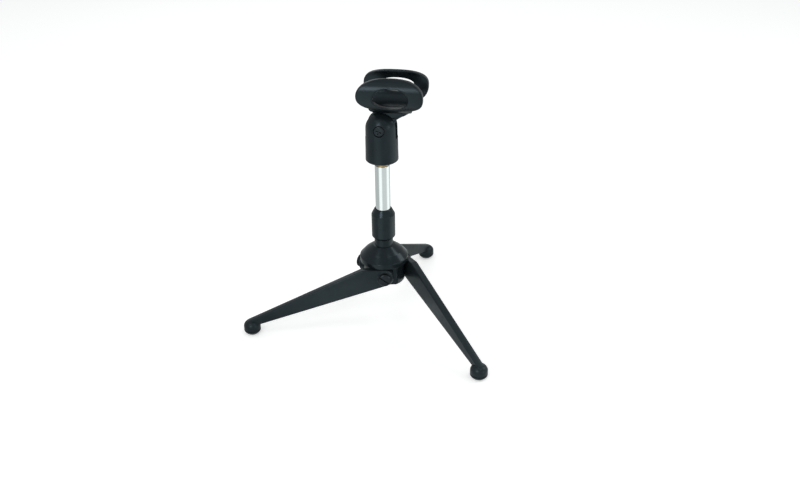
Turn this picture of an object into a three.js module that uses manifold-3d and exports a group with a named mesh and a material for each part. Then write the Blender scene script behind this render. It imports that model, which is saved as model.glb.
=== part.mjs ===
// Desktop microphone stand: a folding three-leg base, a twist-clutch riser tube and a tilting
// mic clip. Millimetres, +Z up. Origin: on the table, under the middle of the whole stand's box.
// Leg A points along -X.
import * as THREE from "three";
import { mergeVertices } from "three/addons/utils/BufferGeometryUtils.js";
import Module from "manifold-3d";

const wasm = await Module();
wasm.setup();

// ---- driving dimensions; heights (LOW, TOP, _Z) are from a datum plane just below the table ----
const TABLE = 1.0; // table top
const GAP = 0.3; // clearance between neighbouring pieces

const RISER_R = 6.0;
const RISER_INNER_R = RISER_R - 0.8;
const RISER_LOW = 58.0;
const RISER_TOP = 143.3;
const PLUG_R = 6.75; // flange of the plug in the tube's lower end
const STUD_SHOULDER_TOP = 146.1;

const PIVOT_Z = 51.3; // leg pivots
const BLOCK_FACE = 14.0; // hub block, axis to each leg face
const BLOCK_R = 16.9; // round parts between the leg faces
const BLOCK_LOW = 41.6;
const HUB_UNDER = 58.9; // underside of the skirt
const HUB_RIM_Z = 63.2;
const HUB_R = 19.75;
const NECK_R = 7.55;
const BOSS_R = 6.95; // boss inside the collar
const BOSS_TOP = 92.0;

const COLLAR_R = 9.57;
const COLLAR_INNER_R = 7.3;
const COLLAR_LOW = 79.1;
const COLLAR_TOP = 105.5;

// Leg frame: +X runs out along the leg, +Y is the block face's normal, Y = 0 on the riser axis
const LEG_STATIONS = [["a", 180], ["b", 300], ["c", 60]]; // tag, degrees about Z
const LEG_INNER_Y = BLOCK_FACE + GAP;
const LEG_OUTER_Y = 20.6;
const LEG_EYE_R = 7.3; // rounded end round the pivot
const LEG_HEEL = LEG_EYE_R; // shoulder above the pivot, the stop under the skirt
const FOOT_X = 111.2;
const FOOT_Y = 18.0;
const LEG_END_X = FOOT_X + 3.8;
const KNOB_R = 6.95;
const KNOB_LOW = 5.0;
const KNOB_TOP = 12.8;
const PAD_FACE_R = 4.5;
const PAD_STEM_R = 2.5;

const SHANK_R = 3.3; // leg pivot screw
const THREAD_R = 2.3;
const THREAD_TIP_Y = 8.0;
const EYE_RING_Y = LEG_OUTER_Y + 0.4; // face of the raised ring round the pivot
const WASHER_Y = EYE_RING_Y + GAP;
const WASHER_THICK = 0.5;
const SCREW_HEAD_Y = WASHER_Y + WASHER_THICK + GAP; // underside of the head

const HEAD_TURN = -10.5; // degrees, riser and clip turned about the column
const TILT_Z = 175.3; // clip tilt axis
const YOKE_LOW = 147.4;
const YOKE_R = 12.95;
const YOKE_BORE_R = 8.05;
const YOKE_BORE_TOP = 161.6;
const EAR_R = 12.6; // domed top of the two ears, about the tilt axis
const SLOT_HALF = 4.6;
const SLOT_DEPTH = 8.4; // slot floor below the tilt axis
const CLIP_BORE_R = 2.5; // tilt screw's hole

// Cradle heights are above the tilt axis
const TAB_HALF = 4.2;
const TAB_R = 8.0;
const SADDLE_HALF = 5.8;
const CRADLE_Z = 30.2; // centre of the mic channel
const CRADLE_INNER_R = 14.1;
const CRADLE_OUTER_R = 17.6;
const CRADLE_BELLY = 18.8; // half width across the outside of the two wings
const CRADLE_SHOULDER = 14.2; // height at which a wing's rolled-in upper half would close
const ROLL = 0.87; // 2 over the power of that upper half's curve
const WING = { x: 9.2, z: 29.4, halfLength: 25.3, halfHeight: 12.8, power: 2.3, steps: 56 };
const WINDOW = { x: WING.x + 0.8, halfLength: 13.3, power: 2.1, steps: 36 };
const WINDOWS = [
  { from: -30, to: 0, z: 27.6, halfHeight: 8.4 },
  { from: 0, to: 30, z: 29.3, halfHeight: 5.3 },
];

const rad = THREE.MathUtils.degToRad;

// ---- outlines ----
function arc(centreX, centreY, radius, start, end, steps) {
  const points = [];
  for (let i = 0; i <= steps; i++) {
    const angle = rad(start + ((end - start) * i) / steps);
    points.push([centreX + radius * Math.cos(angle), centreY + radius * Math.sin(angle)]);
  }
  return points;
}
const rectangle = (left, right, bottom, top) =>
  [[left, bottom], [right, bottom], [right, top], [left, top]];
const signedPower = (value, exponent) => Math.sign(value) * Math.abs(value) ** exponent;
// Superellipse in X and Z, fuller in its lower +X quarter.
function oval({ x, z, halfLength, halfHeight, power, steps }) {
  const points = [];
  for (let i = 0; i < steps; i++) {
    const angle = (2 * Math.PI * i) / steps;
    const cos = Math.cos(angle);
    const sin = Math.sin(angle);
    const exponent = 2 / (cos > 0 && sin < 0 ? power + 0.7 : power);
    points.push([
      x + halfLength * signedPower(cos, exponent),
      z + halfHeight * signedPower(sin, exponent),
    ]);
  }
  return points;
}

// ---- primitives ----
// Solid of revolution about +Z from [r, z] points: bottom axis to top axis, or a closed ring.
function revolve(points, segments) {
  const profile = points.map(([r, z]) => new THREE.Vector2(r, z));
  return new THREE.LatheGeometry(profile, segments).rotateX(rad(90));
}
const rod = (radius, from, to, segments) =>
  revolve([[0, from], [radius, from], [radius, to], [0, to]], segments);
// Rod along +Y.
const rodY = (radius, from, to, segments) => rod(radius, -to, -from, segments).rotateX(rad(90));
// Outline in X and Y, pushed up along Z.
function slabZ(outline, from, to) {
  const shape = new THREE.Shape(outline.map(([x, y]) => new THREE.Vector2(x, y)));
  const slab = new THREE.ExtrudeGeometry(shape, { depth: to - from, bevelEnabled: false });
  return slab.translate(0, 0, from);
}
// Outline in X and Z, pushed along Y.
const slabY = (outline, from, to) =>
  slabZ(outline, 0, to - from).rotateX(rad(90)).translate(0, to, 0);
// Outline in Y and Z, pushed along X: drawn x, y and depth become y, z and x.
const slabX = (outline, from, to) =>
  slabZ(outline, from, to).applyMatrix4(
    new THREE.Matrix4().set(0, 0, 1, 0, 1, 0, 0, 0, 0, 1, 0, 0, 0, 0, 0, 1),
  );

// ---- booleans, on geometries or manifold solids ----
function toManifold(shape) {
  if (!(shape instanceof THREE.BufferGeometry)) return shape;
  const bare = shape.clone();
  for (const key of Object.keys(bare.attributes)) {
    if (key !== "position") bare.deleteAttribute(key);
  }
  const merged = mergeVertices(bare, 1e-4);
  return new wasm.Manifold(
    new wasm.Mesh({
      numProp: 3,
      vertProperties: merged.attributes.position.array,
      triVerts: new Uint32Array(merged.index.array),
    }),
  );
}
function toGeometry(solid) {
  const mesh = solid.getMesh();
  const geometry = new THREE.BufferGeometry();
  geometry.setAttribute("position", new THREE.Float32BufferAttribute(mesh.vertProperties, 3));
  geometry.setIndex(new THREE.BufferAttribute(new Uint32Array(mesh.triVerts), 1));
  geometry.computeVertexNormals();
  return geometry;
}
const cut = (base, ...tools) =>
  tools.reduce((solid, tool) => solid.subtract(toManifold(tool)), toManifold(base));
const join = (base, ...more) =>
  more.reduce((solid, part) => solid.add(toManifold(part)), toManifold(base));
const common = (first, second) => toManifold(first).intersect(toManifold(second));

// ---- materials ----
const paint = (settings) => new THREE.MeshStandardMaterial(settings);
const castBlack = () => paint({ color: 0x16191b, roughness: 0.42, metalness: 0 });
const mouldBlack = () => paint({ color: 0x181a1c, roughness: 0.5, metalness: 0 });
const rubber = () => paint({ color: 0x121415, roughness: 0.62, metalness: 0 });
const chrome = () => paint({ color: 0xd6dadb, roughness: 0.16, metalness: 1 });
const brass = () => paint({ color: 0xb58a4c, roughness: 0.3, metalness: 1 });
const blackSteel = () => paint({ color: 0x1b1d1f, roughness: 0.35, metalness: 0.8 });
const zincSteel = () => paint({ color: 0x9ea2a4, roughness: 0.32, metalness: 1 });

function piece(name, shape, material) {
  const geometry = shape instanceof THREE.BufferGeometry ? shape : toGeometry(shape);
  const mesh = new THREE.Mesh(geometry, material);
  mesh.name = name;
  return mesh;
}

// ---- hub: cone, skirt and neck over a three-sided block with one face for each leg ----
function hubCasting() {
  const body = revolve([
    [0, HUB_UNDER],
    [HUB_R - 0.8, HUB_UNDER],
    [HUB_R, HUB_UNDER + 0.8],
    [HUB_R, HUB_RIM_Z - 0.6],
    [HUB_R - 0.5, HUB_RIM_Z + 0.4],
    [15.3, 68.3],
    [8.9, 73.0],
    [NECK_R + 0.2, 73.25],
    [NECK_R, 73.5],
    [NECK_R, COLLAR_LOW - GAP],
    [BOSS_R, COLLAR_LOW - GAP],
    [BOSS_R, BOSS_TOP - 0.6],
    [BOSS_R - 0.5, BOSS_TOP],
    [0, BOSS_TOP],
  ], 60);
  // each leg face spans twice this angle
  const halfFace = THREE.MathUtils.radToDeg(Math.acos(BLOCK_FACE / BLOCK_R));
  const block = [-90, 30, 150].flatMap((start) =>
    arc(0, 0, BLOCK_R, start + halfFace, start + 120 - halfFace, 8),
  );
  const screwHoles = LEG_STATIONS.map(([, turn]) =>
    rodY(THREAD_R + GAP, THREAD_TIP_Y - GAP, 15, 20).translate(0, 0, PIVOT_Z).rotateZ(rad(turn)),
  );
  return cut(
    join(body, slabZ(block, BLOCK_LOW, HUB_UNDER + 1)),
    rod(RISER_R + GAP, 40, 100, 40),
    rod(PLUG_R + GAP, 30, 70, 40),
    ...screwHoles,
  );
}

// ---- legs, in the leg frame with Z = 0 at the pivot ----
const legTopEdge = (x) => 16.2 - 0.479 * x;
const legLowEdge = (x) => -7.6 - 0.326 * x;
function legBlade() {
  const side = [
    [LEG_END_X, legLowEdge(LEG_END_X)],
    [LEG_END_X, legTopEdge(LEG_END_X)],
    [18.4, legTopEdge(18.4)],
    [17.0, LEG_HEEL + 0.02],
    [15.4, LEG_HEEL],
    [0, LEG_HEEL],
    ...arc(0, 0, LEG_EYE_R, 98, 251.8, 18),
  ];
  const plan = [
    [-12, LEG_INNER_Y],
    [18, LEG_INNER_Y],
    [FOOT_X + 1, FOOT_Y - 3.0],
    [LEG_END_X - 0.7, FOOT_Y - 1.9],
    [LEG_END_X, FOOT_Y],
    [LEG_END_X - 0.7, FOOT_Y + 1.9],
    [FOOT_X + 1, FOOT_Y + 3.0],
    [18, LEG_OUTER_Y],
    [-12, LEG_OUTER_Y],
  ];
  return common(slabY(side, 5, 25), slabZ(plan, -80, 40));
}
// Knob over the foot pad, on its own axis and at its height above the datum.
const legKnob = () =>
  revolve([
    [0, KNOB_LOW],
    [KNOB_R - 0.3, KNOB_LOW],
    [KNOB_R, KNOB_LOW + 0.3],
    [KNOB_R, 8.0],
    [KNOB_R - 0.35, 9.2],
    [KNOB_R - 1.2, 10.5],
    [KNOB_R - 2.6, 11.7],
    [KNOB_R - 4.5, 12.5],
    [0, KNOB_TOP],
  ], 32);
function legSolid() {
  const atFoot = (geometry) => geometry.translate(FOOT_X, FOOT_Y, -PIVOT_Z);
  const eyeRing = rodY(LEG_EYE_R - 1.0, LEG_OUTER_Y - 1, EYE_RING_Y, 36);
  return cut(
    join(legBlade(), eyeRing, atFoot(legKnob())),
    rodY(SHANK_R + GAP, 0, 30, 28),
    atFoot(rod(PAD_STEM_R + GAP, KNOB_LOW, 8.4, 24)),
  );
}
const footPad = () =>
  revolve([
    [0, TABLE],
    [PAD_FACE_R, TABLE],
    [5.5, TABLE + 0.9],
    [6.4, TABLE + 2.0],
    [KNOB_R, TABLE + 3.2],
    [KNOB_R, KNOB_LOW - GAP],
    [PAD_STEM_R, KNOB_LOW - GAP],
    [PAD_STEM_R, 7.6],
    [PAD_STEM_R - 0.4, 8.0],
    [0, 8.0],
  ], 32);
function legScrew() {
  const screw = join(
    rodY(5.25, SCREW_HEAD_Y, SCREW_HEAD_Y + 1.5, 36),
    rodY(4.6, SCREW_HEAD_Y + 1.4, SCREW_HEAD_Y + 2.0, 36),
    rodY(SHANK_R, LEG_INNER_Y, SCREW_HEAD_Y + 0.5, 28),
    rodY(THREAD_R, THREAD_TIP_Y, BLOCK_FACE + 1, 20),
  );
  const slot = slabY(rectangle(-6, 6, -0.65, 0.65), SCREW_HEAD_Y + 1, SCREW_HEAD_Y + 4);
  return cut(screw, slot.rotateY(rad(-38)));
}
const legWasher = () =>
  cut(
    rodY(5.7, WASHER_Y, WASHER_Y + WASHER_THICK, 36),
    rodY(SHANK_R + GAP, WASHER_Y - 1, WASHER_Y + 2, 28),
  );
function legStation(tag, turn) {
  const station = new THREE.Group();
  station.rotation.z = rad(turn);
  const atPivot = new THREE.Group();
  atPivot.position.z = PIVOT_Z;
  atPivot.add(
    piece("leg_" + tag, legSolid(), castBlack()),
    piece("leg_pivot_screw_" + tag, legScrew(), blackSteel()),
    piece("leg_pivot_washer_" + tag, legWasher(), blackSteel()),
  );
  const pad = piece("foot_pad_" + tag, footPad(), rubber());
  pad.position.set(FOOT_X, FOOT_Y, 0);
  station.add(atPivot, pad);
  return station;
}

// ---- twist clutch ----
const clutchCollar = () =>
  revolve([
    [COLLAR_INNER_R, COLLAR_LOW],
    [NECK_R + 0.1, COLLAR_LOW],
    [COLLAR_R, COLLAR_LOW + 2.1],
    [COLLAR_R, 100.4],
    [COLLAR_R - 0.4, 101.2],
    [6.95, COLLAR_TOP],
    [6.35, COLLAR_TOP],
    [6.5, 104.3],
    [7.75, 98.2],
    [COLLAR_INNER_R, 97.6],
    [COLLAR_INNER_R, COLLAR_LOW],
  ], 60);
// Sleeve round the riser, above the boss, slit on its +X side.
function clutchCollet() {
  const bore = RISER_R + GAP;
  const sleeve = revolve([
    [bore, BOSS_TOP + GAP],
    [BOSS_R, BOSS_TOP + GAP],
    [BOSS_R, 97.3],
    [7.3, 98.6],
    [6.75, 101.6],
    [bore, 101.6],
    [bore, BOSS_TOP + GAP],
  ], 48);
  return cut(sleeve, slabZ(rectangle(0, 10, -0.6, 0.6), 80, 110));
}

// ---- riser ----
const riserTube = () =>
  revolve([
    [RISER_INNER_R, RISER_LOW],
    [RISER_R, RISER_LOW],
    [RISER_R, RISER_TOP],
    [RISER_INNER_R, RISER_TOP],
    [RISER_INNER_R, RISER_LOW],
  ], 48);
const tubeEndPlug = () =>
  revolve([
    [0, 54.8],
    [6.2, 54.8],
    [PLUG_R, 55.3],
    [PLUG_R, RISER_LOW - GAP],
    [RISER_INNER_R - GAP, RISER_LOW - GAP],
    [RISER_INNER_R - GAP, 67],
    [0, 67],
  ], 36);
const riserStud = () =>
  revolve([
    [0, 130],
    [4.5, 130],
    [4.9, 130.8],
    [4.9, RISER_TOP + GAP],
    [6.0, RISER_TOP + GAP],
    [6.15, RISER_TOP + 0.7],
    [6.15, STUD_SHOULDER_TOP - 0.4],
    [5.9, STUD_SHOULDER_TOP],
    [4.7, STUD_SHOULDER_TOP],
    [4.7, 159.2],
    [4.0, 160],
    [0, 160],
  ], 40);
function threadAdapter() {
  const bore = 5.05;
  const bottom = STUD_SHOULDER_TOP + GAP;
  return revolve([
    [bore, bottom],
    [6.8, bottom],
    [7.05, 146.6],
    [7.05, 147.6],
    [7.7, 148.2],
    [7.7, 160.6],
    [7.2, 161.2],
    [bore, 161.2],
    [bore, bottom],
  ], 44);
}

// ---- clip joint, origin on the tilt axis: screw head on the -Y side, nut on the +Y side ----
// Round body whose domed top is slotted into two ears.
function clipYoke() {
  const bottom = YOKE_LOW - TILT_Z;
  const body = revolve([
    [0, bottom],
    [YOKE_R - 0.9, bottom],
    [YOKE_R, bottom + 0.9],
    [YOKE_R - 0.15, bottom + 8],
    [EAR_R + 0.05, -1.5],
    ...arc(0, 0, EAR_R, 0, 84, 14),
    [0, EAR_R],
  ], 60);
  return cut(
    body,
    slabY(rectangle(-20, 20, -SLOT_DEPTH, 20), -SLOT_HALF, SLOT_HALF),
    rod(YOKE_BORE_R, bottom - 1, YOKE_BORE_TOP - TILT_Z, 44),
    rodY(CLIP_BORE_R, -20, 20, 24),
    rodY(4.5, -20, -9.3, 36), // recess for the screw head
    rodY(4.95, 7.6, 20, 6), // hexagonal pocket for the nut
  );
}
function clipScrew() {
  const crossSlots = [20, 110].map((angle) =>
    slabY(rectangle(-2.4, 2.4, -0.45, 0.45), -14, -11.2).rotateY(rad(angle)),
  );
  return cut(join(rodY(4.15, -12.5, -10.45, 32), rodY(2.2, -10.6, 10.9, 24)), ...crossSlots);
}
const clipWasher = () => cut(rodY(4.0, -10.15, -9.6, 32), rodY(CLIP_BORE_R, -12, -8, 24));
const clipNut = () => cut(rodY(4.6, 7.9, 11.4, 6), rodY(CLIP_BORE_R, 5, 14, 24));

// ---- cradle: a channel along X whose two wings each have an oval window, on a tab ----
function cradleChannel() {
  const section = [
    ...arc(0, 0, 1, 118.6, 421.4, 56).map(([y, z]) =>
      z > 0
        ? [CRADLE_BELLY * signedPower(y, ROLL), CRADLE_Z + CRADLE_SHOULDER * z ** ROLL]
        : [CRADLE_BELLY * y, CRADLE_Z + CRADLE_OUTER_R * z],
    ),
    ...arc(0, CRADLE_Z, CRADLE_INNER_R, 405.4, 134.6, 36),
  ];
  const floor = [[-5, 10], [23, 10], [24.5, 14], [27, 22], [-9, 22], [-6.5, 14]];
  const sideView = join(slabY(oval(WING), -30, 30), slabY(floor, -12, 12));
  const windows = WINDOWS.map((window) =>
    slabY(oval({ ...WINDOW, ...window }), window.from, window.to),
  );
  return cut(common(slabX(section, -30, 45), sideView), ...windows);
}
// Lower +X edge shared by the tab and the saddle, [x, z] going up.
const CRADLE_EDGE = [[18.4, 10.6], [22.0, 12.9], [23.5, 17.0]];
const micBore = () =>
  rodY(CRADLE_INNER_R + 0.4, -40, 40, 40).rotateZ(rad(90)).translate(0, 0, CRADLE_Z);
function cradleTab() {
  const outline = [
    ...arc(0, 0, TAB_R, 176, 350, 24),
    [12.4, 6.9],
    ...CRADLE_EDGE,
    [-5.5, 17.2],
    [-5.6, 12.6],
    [-8.0, 8.0],
  ];
  return cut(slabY(outline, -TAB_HALF, TAB_HALF), micBore());
}
// Neck that sits over the domed tops of the ears.
function cradleSaddle() {
  const outline = [
    ...arc(0, 0, 9, 42, 112, 12),
    [-6.6, 15.0],
    [-8.6, 21.0],
    [25.0, 21.0],
    ...[...CRADLE_EDGE].reverse(),
    [9.75, 8.78],
  ];
  const domeR = EAR_R + 0.35;
  const dome = revolve([[0, -domeR], ...arc(0, 0, domeR, -84, 84, 28), [0, domeR]], 60);
  // elliptical envelope that keeps the saddle within the channel's width
  const envelope = arc(0, 0, 1, 0, 360, 60)
    .slice(0, -1)
    .map(([y, z]) => [(CRADLE_BELLY - 0.3) * y, CRADLE_Z + (CRADLE_OUTER_R + 9) * z]);
  const block = common(slabY(outline, -SADDLE_HALF, SADDLE_HALF), slabX(envelope, -40, 50));
  return cut(block, micBore(), dome);
}
const micCradle = () =>
  cut(join(cradleChannel(), cradleTab(), cradleSaddle()), rodY(CLIP_BORE_R, -20, 20, 24));

// ---- assembly ----
const stand = new THREE.Group();
stand.add(piece("hub_casting", hubCasting(), castBlack()));
for (const [tag, turn] of LEG_STATIONS) stand.add(legStation(tag, turn));
stand.add(
  piece("clutch_collar", clutchCollar(), mouldBlack()),
  piece("clutch_collet", clutchCollet(), mouldBlack()),
);

// riser and clip, turned together about the column
const head = new THREE.Group();
head.rotation.z = rad(HEAD_TURN);
stand.add(head);
head.add(
  piece("riser_tube", riserTube(), chrome()),
  piece("tube_end_plug", tubeEndPlug(), mouldBlack()),
  piece("riser_stud", riserStud(), brass()),
  piece("thread_adapter", threadAdapter(), brass()),
);

const tilt = new THREE.Group();
tilt.position.z = TILT_Z;
head.add(tilt);
tilt.add(
  piece("clip_yoke", clipYoke(), mouldBlack()),
  piece("clip_pivot_screw", clipScrew(), blackSteel()),
  piece("clip_spring_washer", clipWasher(), zincSteel()),
  piece("clip_pivot_nut", clipNut(), zincSteel()),
);

const cradle = new THREE.Group();
tilt.add(cradle);
cradle.add(piece("mic_cradle", micCradle(), rubber()));

// the whole stand's box is centred over the origin, its underside on the table
stand.updateMatrixWorld(true);
const box = new THREE.Box3().setFromObject(stand, true);
stand.position.set(-(box.min.x + box.max.x) / 2, -(box.min.y + box.max.y) / 2, -box.min.z);
stand.updateMatrixWorld(true);

export default stand;
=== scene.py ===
import bpy
import bmesh
import math
from mathutils import Matrix, Vector


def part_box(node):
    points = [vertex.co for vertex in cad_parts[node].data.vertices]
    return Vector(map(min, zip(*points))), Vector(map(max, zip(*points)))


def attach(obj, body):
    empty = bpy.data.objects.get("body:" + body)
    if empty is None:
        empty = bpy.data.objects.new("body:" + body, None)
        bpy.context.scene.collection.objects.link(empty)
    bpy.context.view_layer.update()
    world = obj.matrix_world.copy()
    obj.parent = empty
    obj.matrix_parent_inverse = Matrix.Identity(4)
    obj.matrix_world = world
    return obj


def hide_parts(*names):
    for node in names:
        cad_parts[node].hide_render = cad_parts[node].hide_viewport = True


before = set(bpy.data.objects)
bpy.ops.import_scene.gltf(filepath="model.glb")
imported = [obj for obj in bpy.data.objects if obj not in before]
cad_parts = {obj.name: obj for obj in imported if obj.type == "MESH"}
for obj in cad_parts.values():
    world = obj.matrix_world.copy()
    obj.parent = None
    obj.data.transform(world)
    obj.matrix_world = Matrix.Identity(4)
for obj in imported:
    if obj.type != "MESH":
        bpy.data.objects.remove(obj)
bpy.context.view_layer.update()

MM = 0.001
rad = math.radians

# ------------------------------------------------------------------ driving dimensions
COLLAR_TOP = 105.5
TILT_Z = 175.3  # height of the cradle's tilt axis
PIVOT_Z = 51.3  # height of the leg pivots
HEAD_TURN = -10.5  # turn of riser, yoke and cradle about the column, degrees
LEG_TURNS = {"a": 180, "b": 300, "c": 60}  # degrees about the column
GAP = 0.3  # clearance between pieces at a leg pivot

HUB_FLAT = 14.0  # from the axis to the flats the legs lie against
HUB_CORNER = 16.9

# A leg runs out along its own X, beside the hub in +Y, with its pivot at x = z = 0.
FOOT_X, FOOT_Y = 111.2, 18.0
EYE_RADIUS = 7.3
EYE_BORE = 3.6
BLADE_IN = HUB_FLAT + GAP
BLADE_OUT = 20.6
BOSS_FACE = BLADE_OUT + 0.4
WASHER_Y = BOSS_FACE + GAP
WASHER_THICK = 0.5
HEAD_Y = WASHER_Y + WASHER_THICK + GAP

# The cradle is a trough along X; its heights are from the tilt axis.
BORE_Z = 30.2
BORE_RADIUS = 14.1
UNDER_RADIUS = 17.6  # skin below the bore's axis
SIDE_RADIUS = 18.8  # skin at its widest, in Y
WING_X, WING_Z = 9.2, 29.4  # centre of the oval side view

lo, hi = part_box("clutch_collar")
AXIS = Vector(((lo.x + hi.x) / 2, (lo.y + hi.y) / 2, 0.0))
LIFT = hi.z - COLLAR_TOP * MM  # from the heights given here to the loaded pieces


# ------------------------------------------------------------------ placing
def turned(degrees, axis):
    return Matrix.Rotation(rad(degrees), 4, axis)


def shifted(x, y, z):
    return Matrix.Translation((x * MM, y * MM, z * MM))


def column(turn=0.0, z=0.0):
    """A frame on the column's axis, turned by degrees, at height z."""
    return Matrix.Translation((AXIS.x, AXIS.y, LIFT + z * MM)) @ turned(turn, "Z")


ALONG_X = turned(90, "Y")  # lays a turned piece's +Z along +X
ALONG_Y = turned(-90, "X")  # lays it along +Y
AT_FOOT = shifted(FOOT_X, FOOT_Y, 0)
AT_TILT = column(HEAD_TURN, TILT_Z)


def place(ob, matrix):
    ob.data.transform(matrix)
    ob.data.update()
    return ob


# ------------------------------------------------------------------ meshes
def shade(ob, angle):
    """Smooth shading, sharp where faces meet at more than angle degrees."""
    ob.data.polygons.foreach_set("use_smooth", [True] * len(ob.data.polygons))
    ob.data.set_sharp_from_angle(angle=rad(angle))


def link(name, bm):
    bmesh.ops.recalc_face_normals(bm, faces=bm.faces)
    mesh = bpy.data.meshes.new(name)
    bm.to_mesh(mesh)
    bm.free()
    ob = bpy.data.objects.new(name, mesh)
    bpy.context.scene.collection.objects.link(ob)
    shade(ob, 35)
    return ob


def arc(cx, cz, radius, start, end, steps):
    """Points along an arc, from start to end in degrees."""
    angles = [rad(start + (end - start) * i / steps) for i in range(steps + 1)]
    return [(cx + radius * math.cos(q), cz + radius * math.sin(q)) for q in angles]


def fillet(corners, steps):
    """Rounds a polyline of (x, y, corner radius) points. Radius 0 leaves a point as it is."""
    points = [Vector(corner[:2]) for corner in corners]
    out = []
    for i, point in enumerate(points):
        radius = corners[i][2]
        if radius == 0:
            out.append(tuple(point))
            continue
        back = points[i - 1] - point
        ahead = points[(i + 1) % len(points)] - point
        back_len, ahead_len = back.length, ahead.length
        back, ahead = back / back_len, ahead / ahead_len
        half = math.acos(back.dot(ahead)) / 2
        reach = min(radius / math.tan(half), back_len * 0.48, ahead_len * 0.48)
        radius = reach * math.tan(half)
        centre = point + (back + ahead).normalized() * (radius / math.sin(half))
        first = point + back * reach - centre
        last = point + ahead * reach - centre
        start = math.atan2(first.y, first.x)
        sweep = math.atan2(last.y, last.x) - start
        while sweep > math.pi:
            sweep -= 2 * math.pi
        while sweep < -math.pi:
            sweep += 2 * math.pi
        for k in range(steps + 1):
            q = start + sweep * k / steps
            out.append((centre.x + radius * math.cos(q), centre.y + radius * math.sin(q)))
    return out


def lathe(name, profile, segments, closed=False):
    """Solid turned about +Z from (radius, z) points: from axis to axis, or a closed ring."""
    bm = bmesh.new()
    rings = []
    for radius, z in profile:
        if radius < 1e-6:
            rings.append([bm.verts.new((0, 0, z * MM))])
            continue
        ring = []
        for i in range(segments):
            q = 2 * math.pi * i / segments
            ring.append(bm.verts.new((radius * MM * math.cos(q), radius * MM * math.sin(q), z * MM)))
        rings.append(ring)
    pairs = list(zip(rings, rings[1:])) + ([(rings[-1], rings[0])] if closed else [])
    for a, b in pairs:
        for i in range(segments):
            j = (i + 1) % segments
            if len(a) == 1:
                bm.faces.new((a[0], b[i], b[j]))
            elif len(b) == 1:
                bm.faces.new((a[i], a[j], b[0]))
            else:
                bm.faces.new((a[i], a[j], b[j], b[i]))
    return link(name, bm)


def cylinder(name, radius, start, end, segments):
    return lathe(name, [(0, start), (radius, start), (radius, end), (0, end)], segments)


def extrude(name, outline, start, end, axis="Y"):
    """Prism from start to end along an axis; the outline is in the other two, in XYZ order."""
    bm = bmesh.new()
    ends = []
    for level in (start, end):
        verts = []
        for point in outline:
            co = [value * MM for value in point]
            co.insert("XYZ".index(axis), level * MM)
            verts.append(bm.verts.new(co))
        ends.append(verts)
    a, b = ends
    bm.faces.new(a)
    bm.faces.new(list(reversed(b)))
    for i in range(len(a)):
        j = (i + 1) % len(a)
        bm.faces.new((a[i], b[i], b[j], a[j]))
    return link(name, bm)


def bar(name, half_x, half_z, start, end):
    """Box centred on the Y axis, from start to end along it."""
    corners = [(-half_x, -half_z), (half_x, -half_z), (half_x, half_z), (-half_x, half_z)]
    return extrude(name, corners, start, end)


def apply_modifiers(ob):
    bpy.context.view_layer.update()
    graph = bpy.context.evaluated_depsgraph_get()
    mesh = bpy.data.meshes.new_from_object(ob.evaluated_get(graph))
    old = ob.data
    ob.modifiers.clear()
    ob.data = mesh
    bpy.data.meshes.remove(old)


def boolean(ob, tool, operation="DIFFERENCE"):
    """Combines ob with tool, then removes the tool."""
    mod = ob.modifiers.new("cut", "BOOLEAN")
    mod.operation = operation
    mod.object = tool
    mod.solver = "EXACT"
    apply_modifiers(ob)
    bpy.data.objects.remove(tool)


def bevel(ob, width, segments, angle):
    mod = ob.modifiers.new("edge", "BEVEL")
    mod.width = width * MM
    mod.segments = segments
    mod.limit_method = "ANGLE"
    mod.angle_limit = rad(angle)
    apply_modifiers(ob)


def soften(ob, voxel, passes):
    """Closes a solid up into one even skin and rounds its edges, as a moulding's are."""
    skin = ob.modifiers.new("skin", "REMESH")
    skin.mode = "VOXEL"
    skin.voxel_size = voxel * MM
    apply_modifiers(ob)
    soft = ob.modifiers.new("soft", "SMOOTH")
    soft.factor = 0.5
    soft.iterations = passes
    apply_modifiers(ob)
    ob.data.polygons.foreach_set("use_smooth", [True] * len(ob.data.polygons))


# ------------------------------------------------------------------ materials
TINT = (0.66, 0.87, 0.98, 1)  # the blacks reflect a little cold


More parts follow.
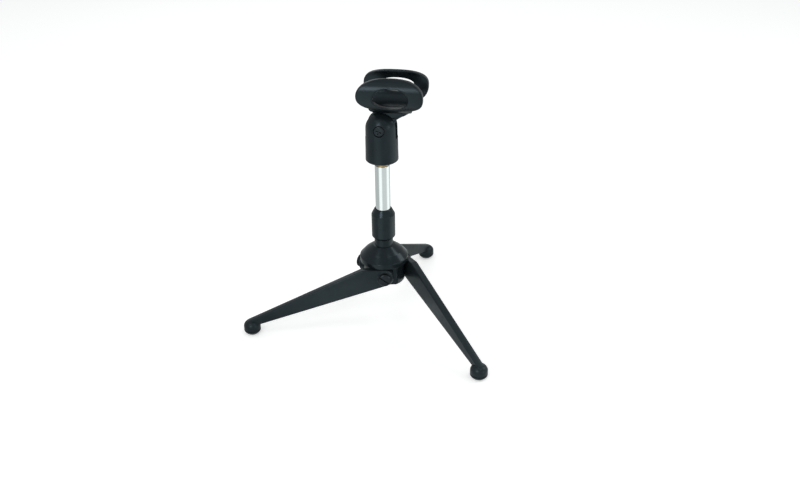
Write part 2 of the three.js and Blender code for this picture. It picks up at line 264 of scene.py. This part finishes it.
class Shader:
    """A material's node tree. Noise scales are per metre; bump and edge sizes are in mm."""

    def __init__(self, name):
        self.material = bpy.data.materials.new(name)
        self.material.use_nodes = True
        self.tree = self.material.node_tree
        self.surface = self.tree.nodes["Principled BSDF"]

    def new(self, kind, **settings):
        node = self.tree.nodes.new(kind)
        for key, value in settings.items():
            setattr(node, key, value)
        return node

    def link(self, output, socket):
        self.tree.links.new(output, socket)

    def feed(self, name, output):
        self.link(output, self.surface.inputs[name])

    def fix(self, values):
        for name, value in values.items():
            self.surface.inputs[name].default_value = value

    def noise(self, scale, detail=4, rough=0.55, stretch=None):
        coords = self.new("ShaderNodeTexCoord").outputs["Object"]
        node = self.new("ShaderNodeTexNoise")
        node.inputs["Scale"].default_value = scale
        node.inputs["Detail"].default_value = detail
        node.inputs["Roughness"].default_value = rough
        if stretch:
            mapping = self.new("ShaderNodeMapping")
            mapping.inputs["Scale"].default_value = stretch
            self.link(coords, mapping.inputs["Vector"])
            coords = mapping.outputs["Vector"]
        self.link(coords, node.inputs["Vector"])
        return node.outputs["Fac"]

    def remap(self, value, old, new):
        node = self.new("ShaderNodeMapRange")
        node.inputs["From Min"].default_value, node.inputs["From Max"].default_value = old
        node.inputs["To Min"].default_value, node.inputs["To Max"].default_value = new
        self.link(value, node.inputs["Value"])
        return node.outputs["Result"]

    def mix(self, fac, first, second):
        """first is a colour or a socket, second a colour."""
        node = self.new("ShaderNodeMix", data_type="RGBA")
        plain = isinstance(first, tuple)
        node.inputs[6].default_value = (*first, 1) if plain else (0, 0, 0, 1)
        node.inputs[7].default_value = (*second, 1)
        if not plain:
            self.link(first, node.inputs[6])
        self.link(fac, node.inputs[0])
        return node.outputs[2]

    def calc(self, operation, first, second):
        """first is a socket, second a socket or a number."""
        node = self.new("ShaderNodeMath", operation=operation)
        self.link(first, node.inputs[0])
        if isinstance(second, (int, float)):
            node.inputs[1].default_value = second
        else:
            self.link(second, node.inputs[1])
        return node.outputs[0]

    def worn_edges(self, radius, scale, patches, amount):
        """Up to amount where the surface turns within radius, broken up by noise."""
        rounded = self.new("ShaderNodeBevel", samples=4)
        rounded.inputs["Radius"].default_value = radius * MM
        geometry = self.new("ShaderNodeNewGeometry")
        dot = self.new("ShaderNodeVectorMath", operation="DOT_PRODUCT")
        self.link(rounded.outputs["Normal"], dot.inputs[0])
        self.link(geometry.outputs["Normal"], dot.inputs[1])
        edges = self.remap(dot.outputs["Value"], old=(0.995, 0.93), new=(0.0, 1.0))
        broken = self.remap(self.noise(scale), old=patches, new=(0.0, amount))
        return self.calc("MULTIPLY", edges, broken)

    def bump(self, height, distance, strength, base=None):
        node = self.new("ShaderNodeBump")
        node.inputs["Strength"].default_value = strength
        node.inputs["Distance"].default_value = distance * MM
        self.link(height, node.inputs["Height"])
        if base is not None:
            self.link(base, node.inputs["Normal"])
        return node.outputs["Normal"]


def painted(name, dark, light, rough, coat, peel, wear, specular):
    """Enamel with clouded colour, rubbed edges and an orange-peel surface."""
    s = Shader(name)
    cloud = s.noise(scale=90, detail=3)
    fine = s.noise(scale=1900, detail=3)
    worn = s.worn_edges(radius=0.5, scale=420, patches=(0.42, 0.66), amount=wear)
    base = s.mix(s.remap(cloud, old=(0.35, 0.65), new=(0, 1)), dark, light)
    s.feed("Base Color", s.mix(worn, base, (0.16, 0.175, 0.18)))
    s.feed("Roughness", s.remap(s.noise(scale=240, detail=5), old=(0.3, 0.7), new=rough))
    s.fix({"Coat Weight": coat, "Coat Roughness": 0.12, "Coat Tint": TINT})
    s.fix({"Specular IOR Level": specular, "Specular Tint": TINT})
    coarse = s.bump(s.noise(scale=620, detail=2), distance=peel, strength=0.6)
    s.feed("Normal", s.bump(fine, distance=peel * 0.4, strength=0.35, base=coarse))
    return s.material


def moulded(name, dark, light, rough, grain, specular):
    """Hard black plastic with a fine grain and faintly rubbed edges."""
    s = Shader(name)
    cloud = s.noise(scale=120, detail=3)
    base = s.mix(s.remap(cloud, old=(0.35, 0.65), new=(0, 1)), dark, light)
    worn = s.worn_edges(radius=0.35, scale=500, patches=(0.4, 0.7), amount=0.35)
    s.feed("Base Color", s.mix(worn, base, (0.10, 0.11, 0.115)))
    s.feed("Roughness", s.remap(s.noise(scale=300, detail=5), old=(0.3, 0.7), new=rough))
    s.fix({"Specular IOR Level": specular, "Specular Tint": TINT})
    s.feed("Normal", s.bump(s.noise(scale=2600, detail=2), distance=grain, strength=0.5))
    return s.material


def rubbery(name, dark, light, rough, grain, sheen, specular):
    """Soft black rubber with a grain at two scales."""
    s = Shader(name)
    cloud = s.noise(scale=70)
    s.feed("Base Color", s.mix(s.remap(cloud, old=(0.35, 0.65), new=(0, 1)), dark, light))
    uneven = s.noise(scale=210, detail=5, rough=0.6)
    s.feed("Roughness", s.remap(uneven, old=(0.28, 0.72), new=rough))
    s.fix({"Specular IOR Level": specular, "Specular Tint": TINT})
    s.fix({"Sheen Weight": sheen, "Sheen Roughness": 0.4})
    coarse = s.bump(s.noise(scale=900, detail=3), distance=grain, strength=0.45)
    fine = s.noise(scale=3600, detail=2)
    s.feed("Normal", s.bump(fine, distance=grain * 0.5, strength=0.3, base=coarse))
    return s.material


def metal(name, dark, light, rough, stretch, scale, tarnish, brush=0.0, wear=0.0, bright=None):
    """Metal clouded by tarnish, with streaks of stretch and scale, and bright worn edges."""
    s = Shader(name)
    base = s.mix(s.remap(s.noise(scale=170), old=(0.38, 0.68), new=(0, tarnish)), light, dark)
    if wear:
        worn = s.worn_edges(radius=0.3, scale=600, patches=(0.38, 0.62), amount=wear)
        base = s.mix(worn, base, bright)
    s.feed("Base Color", base)
    s.fix({"Metallic": 1.0})
    streak = s.noise(scale, detail=3, rough=0.5, stretch=stretch)
    s.feed("Roughness", s.remap(streak, old=(0.3, 0.7), new=rough))
    if brush:
        s.feed("Normal", s.bump(streak, distance=brush, strength=0.4))
    return s.material


HUB = painted(
    "hub enamel", dark=(0.0062, 0.0094, 0.0108), light=(0.0094, 0.0132, 0.0150),
    rough=(0.17, 0.24), coat=0.08, peel=0.0006, wear=0.10, specular=0.28,
)
LEG = painted(
    "leg enamel", dark=(0.0090, 0.0128, 0.0146), light=(0.0128, 0.0176, 0.0198),
    rough=(0.30, 0.42), coat=0.05, peel=0.004, wear=0.22, specular=0.32,
)
COLLAR = moulded(
    "collar plastic", dark=(0.0082, 0.0120, 0.0138), light=(0.0112, 0.0156, 0.0178),
    rough=(0.20, 0.28), grain=0.0008, specular=0.34,
)
YOKE = moulded(
    "clip plastic", dark=(0.0080, 0.0116, 0.0134), light=(0.0110, 0.0152, 0.0172),
    rough=(0.26, 0.36), grain=0.0014, specular=0.33,
)
NYLON = moulded(
    "black nylon", dark=(0.010, 0.012, 0.013), light=(0.015, 0.018, 0.019),
    rough=(0.5, 0.62), grain=0.008, specular=0.5,
)
CRADLE = rubbery(
    "cradle rubber", dark=(0.0040, 0.0060, 0.0074), light=(0.0062, 0.0088, 0.0102),
    rough=(0.28, 0.36), grain=0.0010, sheen=0.0, specular=0.40,
)
PAD = rubbery(
    "foot rubber", dark=(0.0100, 0.0142, 0.0162), light=(0.0140, 0.0192, 0.0212),
    rough=(0.27, 0.40), grain=0.006, sheen=0.02, specular=0.36,
)
CHROME = metal(
    "chrome plate", dark=(0.78, 0.82, 0.82), light=(0.88, 0.91, 0.91),
    rough=(0.06, 0.11), stretch=(1, 1, 0.02), scale=900, tarnish=0.25,
)
BRASS = metal(
    "turned brass", dark=(0.16, 0.105, 0.045), light=(0.62, 0.47, 0.25),
    rough=(0.22, 0.36), stretch=(1, 1, 40), scale=60, tarnish=0.65,
    brush=0.006, wear=0.2, bright=(0.85, 0.7, 0.42),
)
BLACK_STEEL = metal(
    "black oxide steel", dark=(0.014, 0.019, 0.023), light=(0.034, 0.042, 0.047),
    rough=(0.28, 0.42), stretch=(1, 1, 1), scale=700, tarnish=0.6,
    brush=0.003, wear=0.45, bright=(0.20, 0.23, 0.24),
)
ZINC = metal(
    "zinc plate", dark=(0.40, 0.42, 0.44), light=(0.60, 0.62, 0.63),
    rough=(0.22, 0.36), stretch=(1, 1, 1), scale=500, tarnish=0.4,
    brush=0.003, wear=0.2, bright=(0.8, 0.8, 0.8),
)


def dress(ob, material, body, node):
    """Gives a piece its material, ties it to the CAD body, and hides the CAD node it stands for."""
    ob.data.materials.clear()
    ob.data.materials.append(material)
    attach(ob, body)
    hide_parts(node)


def repaint(node, material):
    """Puts a material on a CAD piece that is kept as it is."""
    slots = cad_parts[node].data.materials
    if not slots:
        slots.append(material)
    else:
        for i in range(len(slots)):
            slots[i] = material


# ------------------------------------------------------------------ hub
def build_hub():
    corners = [  # radius, z, corner radius
        (0, 58.9, 0), (19.75, 58.9, 0.5), (19.75, 63.4, 0.7), (15.3, 68.3, 2.6),
        (8.8, 73.1, 0.35), (7.55, 73.3, 0.3), (7.6, 79.06, 0), (6.95, 79.06, 0.2),
        (6.95, 92.0, 0.4), (0, 92.0, 0),
    ]
    # The axis point keeps full precision, which fillet's vectors would round.
    hub = lathe("hub_shell", [(0, 58.9)] + fillet(corners, 7)[1:], 128)

    # Block under the skirt, with a flat for each leg centred on these directions.
    half = math.degrees(math.acos(HUB_FLAT / HUB_CORNER))
    plan = []
    for flat in (-90, 30, 150):
        plan += arc(0, 0, HUB_CORNER, flat + half, flat + 120 - half, 18)
    block = extrude("block", plan, 41.6, 61.0, axis="Z")
    bevel(block, width=0.9, segments=4, angle=28)
    boolean(hub, block, "UNION")

    for radius, start, end in ((6.3, 30, 100), (7.05, 30, 70)):
        boolean(hub, cylinder("bore", radius, start, end, 72))
    for turn in LEG_TURNS.values():
        hole = cylinder("hole", 2.6, 7.7, 15, 32)
        boolean(hub, place(hole, turned(turn, "Z") @ shifted(0, 0, PIVOT_Z) @ ALONG_Y))
    shade(hub, 38)
    place(hub, column())
    dress(hub, HUB, "hub", "hub_casting")


# ------------------------------------------------------------------ legs
def top_edge(x):
    return 16.2 - 0.479 * x


def under_edge(x):
    return -7.6 - 0.326 * x


def taper_blade(blade):
    """Thins the blade towards its foot, where its faces are at y = 15 and y = 21."""
    start, end = 18, FOOT_X + 2
    for v in blade.data.vertices:
        share = max(0.0, min(1.0, (v.co.x / MM - start) / (end - start)))
        inner = BLADE_IN + (15.0 - BLADE_IN) * share
        outer = BLADE_OUT + (21.0 - BLADE_OUT) * share
        v.co.y = (inner if v.co.y < (BLADE_IN + BLADE_OUT) / 2 * MM else outer) * MM


def build_leg(tag, turn):
    ground = -PIVOT_Z
    tip = FOOT_X + 3.7
    outline = [
        (tip, under_edge(tip)), (tip, top_edge(tip)), (18.4, top_edge(18.4)),
        (17.0, 7.32), (15.4, EYE_RADIUS), (0.0, EYE_RADIUS),
    ] + arc(0, 0, EYE_RADIUS, 96, 251.8, 26)
    leg = extrude("leg_%s_blade" % tag, outline, BLADE_IN, BLADE_OUT)
    taper_blade(leg)
    bevel(leg, width=1.25, segments=5, angle=55)

    boss = [(0, 19.0, 0), (6.3, 19.0, 0), (6.3, BOSS_FACE, 0.35), (0, BOSS_FACE, 0)]
    boolean(leg, place(lathe("boss", fillet(boss, 4), 72), ALONG_Y), "UNION")

    knob = [(0, 5.0 + ground), (6.65, 5.0 + ground), (6.95, 5.3 + ground)]
    for q in range(0, 91, 6):
        radius = 6.95 * math.cos(rad(q)) ** 0.8 if q < 90 else 0.0
        knob.append((radius, 8.0 + 4.8 * math.sin(rad(q)) ** 1.1 + ground))
    boolean(leg, place(lathe("knob", knob, 72), AT_FOOT), "UNION")

    boolean(leg, place(cylinder("bore", EYE_BORE, 0, 30, 48), ALONG_Y))
    boolean(leg, place(cylinder("socket", 2.8, ground, 8.4 + ground, 40), AT_FOOT))
    shade(leg, 40)
    place(leg, column(turn, PIVOT_Z))
    dress(leg, LEG, "leg_%s_body" % tag, "leg_" + tag)


def build_foot_pad(tag, turn):
    corners = [  # radius, z, corner radius; the last points are the peg into the leg
        (0, 1.0, 0), (4.5, 1.0, 0.7), (6.5, 3.0, 1.3), (6.95, 4.0, 0.5),
        (6.95, 4.7, 0.15), (2.5, 4.7, 0), (2.5, 7.8, 0.3), (0, 8.0, 0),
    ]
    pad = lathe("foot_%s_rubber" % tag, fillet(corners, 5), 72)
    place(pad, column(turn) @ AT_FOOT)
    dress(pad, PAD, "leg_%s_body" % tag, "foot_pad_" + tag)


def build_leg_screw(tag, turn):
    top = HEAD_Y + 2.0
    corners = [  # radius, y, corner radius
        (0, 8.0, 0), (2.3, 8.0, 0.3), (2.3, BLADE_IN, 0), (3.3, BLADE_IN, 0.1),
        (3.3, HEAD_Y, 0), (5.25, HEAD_Y, 0.2), (5.25, HEAD_Y + 1.5, 0.35),
        (4.55, top, 0.3), (0, top, 0),
    ]
    screw = place(lathe("leg_screw_%s_head" % tag, fillet(corners, 4), 80), ALONG_Y)
    slot = bar("slot", 7, 0.65, HEAD_Y + 0.95, HEAD_Y + 5)
    boolean(screw, place(slot, turned(-38, "Y")))
    shade(screw, 35)
    place(screw, column(turn, PIVOT_Z))
    dress(screw, BLACK_STEEL, "hub", "leg_pivot_screw_" + tag)


def build_leg_washer(tag, turn):
    outer, far, corner = 5.7, WASHER_Y + WASHER_THICK, 0.12
    corners = [
        (EYE_BORE, WASHER_Y, corner), (outer, WASHER_Y, corner),
        (outer, far, corner), (EYE_BORE, far, corner),
    ]
    washer = lathe("leg_washer_%s_ring" % tag, fillet(corners, 3), 80, closed=True)
    place(washer, column(turn, PIVOT_Z) @ ALONG_Y)
    dress(washer, BLACK_STEEL, "hub", "leg_pivot_washer_" + tag)


# ------------------------------------------------------------------ column
def build_collar():
    corners = [  # radius, z, corner radius
        (7.3, 79.1, 0.05), (7.65, 79.1, 0), (9.57, 81.2, 0.8), (9.57, 100.6, 0.9),
        (6.95, COLLAR_TOP, 0.7), (6.35, COLLAR_TOP, 0.2), (6.5, 104.3, 0.1),
        (7.75, 98.2, 0.2), (7.3, 97.6, 0.2),
    ]
    collar = lathe("collar_sleeve", fillet(corners, 6), 120, closed=True)
    place(collar, column())
    dress(collar, COLLAR, "collar", "clutch_collar")


def build_riser():
    corners = [(5.2, 58.0, 0.2), (6.0, 58.0, 0.2), (6.0, 143.3, 0.2), (5.2, 143.3, 0.2)]
    riser = lathe("riser_bright_tube", fillet(corners, 4), 128, closed=True)
    place(riser, column(HEAD_TURN))
    dress(riser, CHROME, "riser", "riser_tube")


def build_stud():
    corners = [  # radius, z, corner radius
        (0, 130, 0), (4.9, 130, 0.6), (4.9, 143.6, 0), (6.1, 143.6, 0.35),
        (6.1, 146.1, 0.35), (4.7, 146.1, 0), (4.7, 160, 0.6), (0, 160, 0),
    ]
    stud = lathe("stud_brass", fillet(corners, 4), 96)
    place(stud, column(HEAD_TURN))
    dress(stud, BRASS, "riser", "riser_stud")


def build_adapter():
    corners = [  # radius, z, corner radius
        (5.05, 146.4, 0.1), (7.05, 146.4, 0.3), (7.05, 147.7, 0.2),
        (7.7, 148.3, 0.2), (7.7, 161.2, 0.5), (5.05, 161.2, 0.2),
    ]
    adapter = lathe("adapter_brass", fillet(corners, 4), 96, closed=True)
    place(adapter, column(HEAD_TURN))
    dress(adapter, BRASS, "riser", "thread_adapter")


# ------------------------------------------------------------------ clip yoke
def build_yoke():
    corners = [  # radius, z from the tilt axis, corner radius
        (0, 147.4 - TILT_Z, 0), (12.05, 147.4 - TILT_Z, 0.5), (12.95, 148.3 - TILT_Z, 0.6),
        (12.8, 155.4 - TILT_Z, 0), (12.65, -1.5, 0),
    ]
    dome = 12.6
    profile = fillet(corners, 5) + arc(0, 0, dome, 0, 87, 29) + [(0, dome)]
    yoke = lathe("clip_body", profile, 144)
    slot = [(-20, -8.4), (20, -8.4), (20, 20), (-20, 20)]  # open at the top, right through in X
    boolean(yoke, extrude("slot", slot, -4.6, 4.6))
    bevel(yoke, width=0.75, segments=4, angle=42)
    boolean(yoke, cylinder("bore", 8.05, 146 - TILT_Z, 161.6 - TILT_Z, 96))
    holes = [  # radius, start and end in y, segments
        (2.5, -20, 20, 40),  # through the yoke
        (4.5, -20, -9.3, 64),  # screw head recess
        (4.95, 7.6, 20, 6),  # nut pocket
    ]
    for hole in holes:
        boolean(yoke, place(cylinder("hole", *hole), ALONG_Y))
    shade(yoke, 32)
    place(yoke, AT_TILT)
    dress(yoke, YOKE, "riser", "clip_yoke")


def build_clip_screw():
    corners = [  # radius, y, corner radius
        (0, -12.5, 0), (4.15, -12.5, 0.9), (4.15, -10.45, 0.2),
        (2.2, -10.45, 0), (2.2, 10.9, 0.3), (0, 10.9, 0),
    ]
    screw = place(lathe("clip_screw_head", fillet(corners, 5), 72), ALONG_Y)
    for turn in (20, 110):
        boolean(screw, place(bar("cross", 2.4, 0.45, -14, -11.2), turned(turn, "Y")))
    shade(screw, 35)
    place(screw, AT_TILT)
    dress(screw, BLACK_STEEL, "riser", "clip_pivot_screw")


def build_clip_nut():
    nut = place(cylinder("clip_nut_hex", 4.6, 7.9, 11.4, 6), ALONG_Y)
    boolean(nut, place(cylinder("bore", 2.5, 5, 14, 40), ALONG_Y))
    bevel(nut, width=0.22, segments=3, angle=40)
    shade(nut, 30)
    place(nut, AT_TILT)
    dress(nut, ZINC, "riser", "clip_pivot_nut")


# ------------------------------------------------------------------ cradle
def oval(cx, cz, half_x, half_z, power, steps, extra=0.0):
    """Superellipse in X and Z, squarer by extra in its +X, -Z quarter."""
    out = []
    for i in range(steps):
        t = 2 * math.pi * i / steps
        c, s = math.cos(t), math.sin(t)
        e = 2 / (power + extra if c > 0 and s < 0 else power)
        x = cx + half_x * math.copysign(abs(c) ** e, c)
        out.append((x, cz + half_z * math.copysign(abs(s) ** e, s)))
    return out


def trough_section():
    """Section in Y and Z: the outer skin round underneath, then back along the bore."""
    fullness = 0.87  # below 1 swells the sides above the bore's axis
    out = []
    for y, z in arc(0, 0, 1, 118.6, 421.4, 90):
        if z > 0:
            side = SIDE_RADIUS * math.copysign(abs(y) ** fullness, y)
            out.append((side, BORE_Z + 14.2 * z**fullness))
        else:
            out.append((SIDE_RADIUS * y, BORE_Z + UNDER_RADIUS * z))
    return out + arc(0, BORE_Z, BORE_RADIUS, 405.4, 134.6, 60)


def bore_tool(end):
    bore = cylinder("bore", BORE_RADIUS + 0.4, -40, end, 96)
    return place(bore, shifted(0, 0, BORE_Z) @ ALONG_X)


def pivot_tab():
    outline = arc(0, 0, 8.0, 176, 350, 40) + [
        (12.4, 6.9), (18.4, 10.6), (22.0, 12.9), (23.5, 17.0),
        (-5.5, 17.0), (-5.6, 12.6), (-8.0, 8.0),
    ]
    tab = extrude("tab", outline, -4.2, 4.2)
    boolean(tab, bore_tool(40))
    return tab


def saddle_block():
    """The wider mass between tab and trough, cut clear of the yoke's dome."""
    outline = arc(0, 0, 9, 42, 112, 20) + [
        (-6.6, 15.0), (-8.6, 21.0), (25.0, 21.0), (23.5, 17.0),
        (22.0, 12.9), (18.4, 10.6), (9.75, 8.78),
    ]
    saddle = extrude("saddle", outline, -5.8, 5.8)
    dome = 13.5
    dome_profile = [(0, -dome)] + arc(0, 0, dome, -87, 87, 58) + [(0, dome)]
    boolean(saddle, lathe("dome", dome_profile, 96))
    # A large cylinder squeezed to an ellipse keeps the saddle inside the trough's sides.
    full = 1000
    squeeze = Matrix.Diagonal((1, (SIDE_RADIUS - 0.3) / full, (UNDER_RADIUS + 9) / full, 1))
    shell = cylinder("shell", full, -40, 50, 96)
    place(shell, shifted(0, 0, BORE_Z) @ squeeze @ ALONG_X)
    boolean(saddle, shell, "INTERSECT")
    boolean(saddle, bore_tool(50))
    return saddle


def build_cradle():
    cradle = extrude("cradle_rubber", trough_section(), -30, 45, axis="X")
    wings = extrude("wings", oval(WING_X, WING_Z, 25.3, 12.8, 2.3, 96, extra=0.7), -30, 30)
    base = [(-5, 10), (23, 10), (24.5, 14), (27, 22), (-9, 22), (-6.5, 14)]
    boolean(wings, extrude("base", base, -12, 12), "UNION")
    boolean(cradle, wings, "INTERSECT")
    windows = [  # start and end in y, centre height, half height
        (-30, 0, 27.6, 8.4),
        (0, 30, 29.3, 5.3),
    ]
    for start, end, height, half_z in windows:
        opening = oval(WING_X + 0.8, height, 13.3, half_z, 2.1, 72)
        boolean(cradle, extrude("window", opening, start, end))
    boolean(cradle, pivot_tab(), "UNION")
    boolean(cradle, saddle_block(), "UNION")
    boolean(cradle, place(cylinder("hole", 2.7, -20, 20, 40), turned(90, "X")))
    soften(cradle, voxel=0.40, passes=22)
    place(cradle, AT_TILT)
    dress(cradle, CRADLE, "cradle", "mic_cradle")


build_hub()
for leg_tag, leg_turn in LEG_TURNS.items():
    build_leg(leg_tag, leg_turn)
    build_foot_pad(leg_tag, leg_turn)
    build_leg_screw(leg_tag, leg_turn)
    build_leg_washer(leg_tag, leg_turn)
build_collar()
repaint("clutch_collet", NYLON)
build_riser()
repaint("tube_end_plug", NYLON)
build_stud()
build_adapter()
build_yoke()
build_clip_screw()
repaint("clip_spring_washer", ZINC)
build_clip_nut()
build_cradle()

# ------------------------------------------------------------------ floor
# Painted reflection: the floor glows in these bands for glossy rays only, so the chrome and the
# blacks show bright and dim bands.
REFLECTION_BANDS = [  # degrees about the column from -Y towards +X, brightness
    (-180, 0.52), (-62, 0.50), (-46, 1.08), (-16, 1.10), (-2, 0.66),
    (56, 0.68), (74, 1.12), (106, 1.12), (124, 0.62), (180, 0.55),
]


def floor_material():
    """A plain pale floor with a painted reflection: for glossy rays only, it glows in broad bright
    and dim bands around the column.
    """
    s = Shader("floor")
    s.tree.nodes.clear()
    out = s.new("ShaderNodeOutputMaterial")
    matt = s.new("ShaderNodeBsdfDiffuse")
    matt.inputs["Color"].default_value = (0.92, 0.92, 0.92, 1)
    glow = s.new("ShaderNodeEmission")
    glow.inputs["Color"].default_value = (1, 1, 1, 1)
    path = s.new("ShaderNodeLightPath")
    # The floor glows a little, for the camera only.
    s.link(s.calc("MULTIPLY", path.outputs["Is Camera Ray"], 0.42), glow.inputs["Strength"])
    add = s.new("ShaderNodeAddShader")
    s.link(matt.outputs[0], add.inputs[0])
    s.link(glow.outputs[0], add.inputs[1])

    geometry = s.new("ShaderNodeNewGeometry")
    offset = s.new("ShaderNodeVectorMath", operation="SUBTRACT")
    offset.inputs[1].default_value = (AXIS.x, AXIS.y, 0)
    s.link(geometry.outputs["Position"], offset.inputs[0])
    split = s.new("ShaderNodeSeparateXYZ")
    s.link(offset.outputs[0], split.inputs[0])
    forward = s.calc("MULTIPLY", split.outputs["Y"], -1)
    angle = s.calc("ARCTAN2", split.outputs["X"], forward)
    around = s.remap(angle, old=(-math.pi, math.pi), new=(0, 1))
    ramp = s.new("ShaderNodeValToRGB")
    elements = ramp.color_ramp.elements
    while len(elements) < len(REFLECTION_BANDS):
        elements.new(0.5)
    for element, (degrees, value) in zip(elements, REFLECTION_BANDS):
        element.position = (degrees + 180) / 360
        element.color = (value * 0.95, value * 1.01, value, 1)
    s.link(around, ramp.inputs["Fac"])
    # Painted reflection: this banded glow is seen in glossy rays only.
    band_glow = s.new("ShaderNodeEmission")
    s.link(ramp.outputs["Color"], band_glow.inputs["Color"])

    mix = s.new("ShaderNodeMixShader")
    s.link(path.outputs["Is Glossy Ray"], mix.inputs[0])
    s.link(add.outputs[0], mix.inputs[1])
    s.link(band_glow.outputs[0], mix.inputs[2])
    s.link(mix.outputs[0], out.inputs["Surface"])
    return s.material


bpy.ops.mesh.primitive_plane_add(size=30, location=(0, 0, 0))
floor = bpy.context.object
floor.name = "floor"
floor.data.materials.append(floor_material())

# ------------------------------------------------------------------ light
world = bpy.data.worlds.new("studio")
bpy.context.scene.world = world
world.use_nodes = True
background = world.node_tree.nodes["Background"]
background.inputs["Color"].default_value = (0.98, 1, 1, 1)
background.inputs["Strength"].default_value = 0.50

LIGHT_TARGET = Vector((AXIS.x, AXIS.y, 0.12))
SOFTBOXES = [  # name, direction from the target, width, height, radiance, distance (metres)
    ("side", (0.81, 0.14, 0.57), 0.34, 0.6, 2.6, 1.0),
    ("top_left", (-0.45, -0.30, 0.84), 0.30, 0.30, 2.0, 1.0),
    ("top_right", (0.36, -0.34, 0.87), 0.26, 0.26, 2.2, 1.0),
    ("back", (-0.2, 0.9, 0.6), 0.6, 0.6, 0.8, 1.2),
    ("key", (-0.366, -0.785, 0.50), 0.40, 0.50, 5.5, 1.3),
    ("low_right", (0.75, -0.62, 0.12), 0.4, 0.3, 3.2, 1.2),
]
for name, direction, width, height, radiance, distance in SOFTBOXES:
    light = bpy.data.lights.new(name, "AREA")
    light.shape = "RECTANGLE"
    light.size = width
    light.size_y = height
    light.energy = radiance * math.pi * light.size * light.size_y
    lamp = bpy.data.objects.new(name, light)
    bpy.context.scene.collection.objects.link(lamp)
    toward = Vector(direction).normalized()
    lamp.location = LIGHT_TARGET + toward * distance
    lamp.rotation_euler = (-toward).to_track_quat("-Z", "Y").to_euler()

# ------------------------------------------------------------------ camera
PITCH, ROLL = 0.494, -0.021  # radians: downward tilt, turn about the view direction
right = Vector((1, 0, 0))
view = Vector((0, math.cos(PITCH), -math.sin(PITCH)))
up = right.cross(view)
rolled_right = math.cos(ROLL) * right + math.sin(ROLL) * up
rolled_up = -math.sin(ROLL) * right + math.cos(ROLL) * up

lens = bpy.data.cameras.new("camera")
lens.sensor_width = 36
lens.lens = 42.525
lens.shift_x = 0.02025
lens.shift_y = 0.000375
lens.clip_start = 0.05
camera = bpy.data.objects.new("camera", lens)
bpy.context.scene.collection.objects.link(camera)
pose = Matrix((rolled_right, rolled_up, -view)).transposed().to_4x4()
pose.translation = Vector((AXIS.x, AXIS.y - 0.680, 0.442 + LIFT))
camera.matrix_world = pose
bpy.context.scene.camera = camera
bpy.context.scene.view_settings.view_transform = "Standard"
